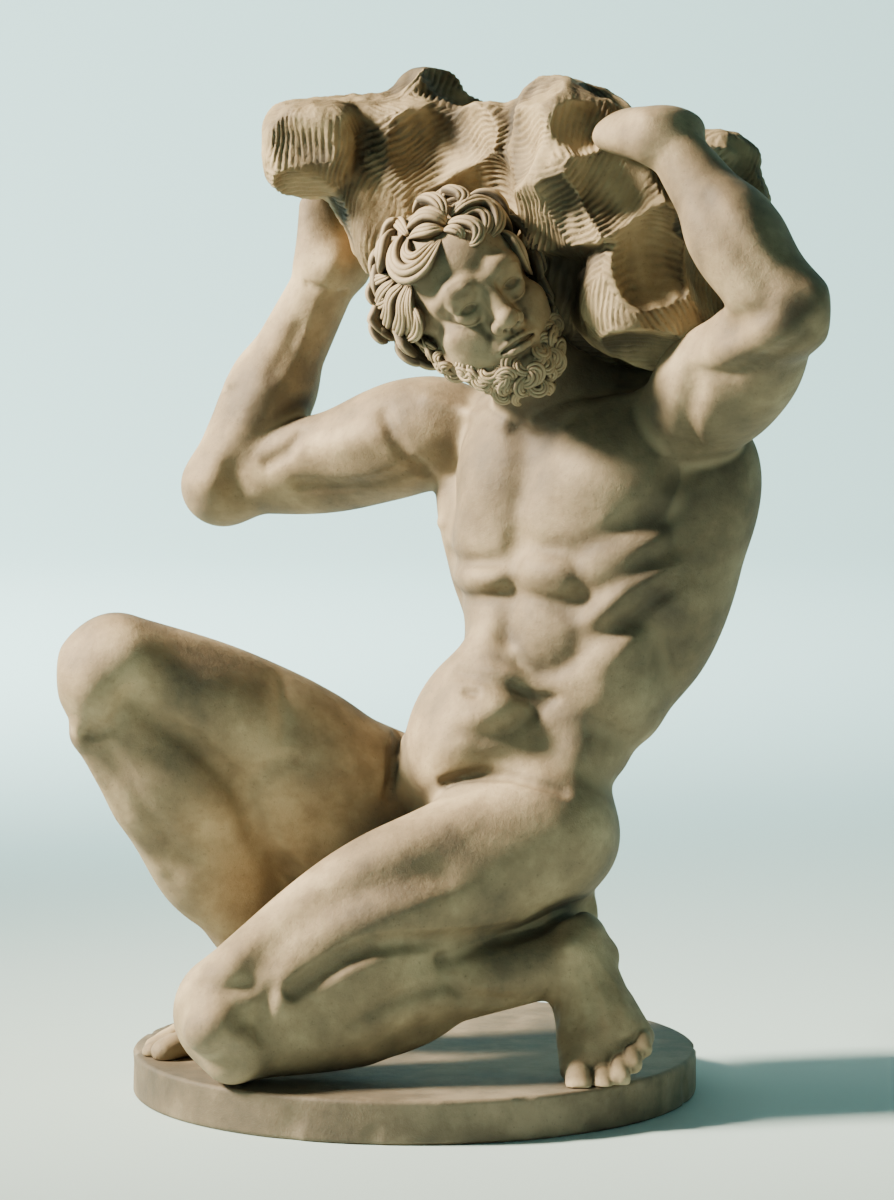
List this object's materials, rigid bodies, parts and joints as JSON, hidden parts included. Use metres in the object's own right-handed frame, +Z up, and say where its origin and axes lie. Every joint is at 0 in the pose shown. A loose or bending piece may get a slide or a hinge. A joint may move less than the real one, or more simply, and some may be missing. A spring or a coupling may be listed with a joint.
{
  "type": "atlas statue",
  "caption": "Fired-clay statuette of a kneeling bearded Atlas who holds a rough combed rock on his shoulders, on a round base.",
  "frame": {"origin": "centre of the round base's flat underside", "axes": "+Z up through the base, X to the right of someone who faces the figure's front, Y away from them"},
  "size_m": [0.4363, 0.3316, 0.5996],
  "materials": {
    "buff_fired_clay": "unglazed buff terracotta, matt, hand modelled and combed",
    "grey_fired_clay": "unglazed grey-buff terracotta, matt, rubbed smooth"
  },
  "bodies": {
    "root": {"figure_with_rock": "buff_fired_clay", "round_base": "grey_fired_clay"}
  },
  "joints": []
}
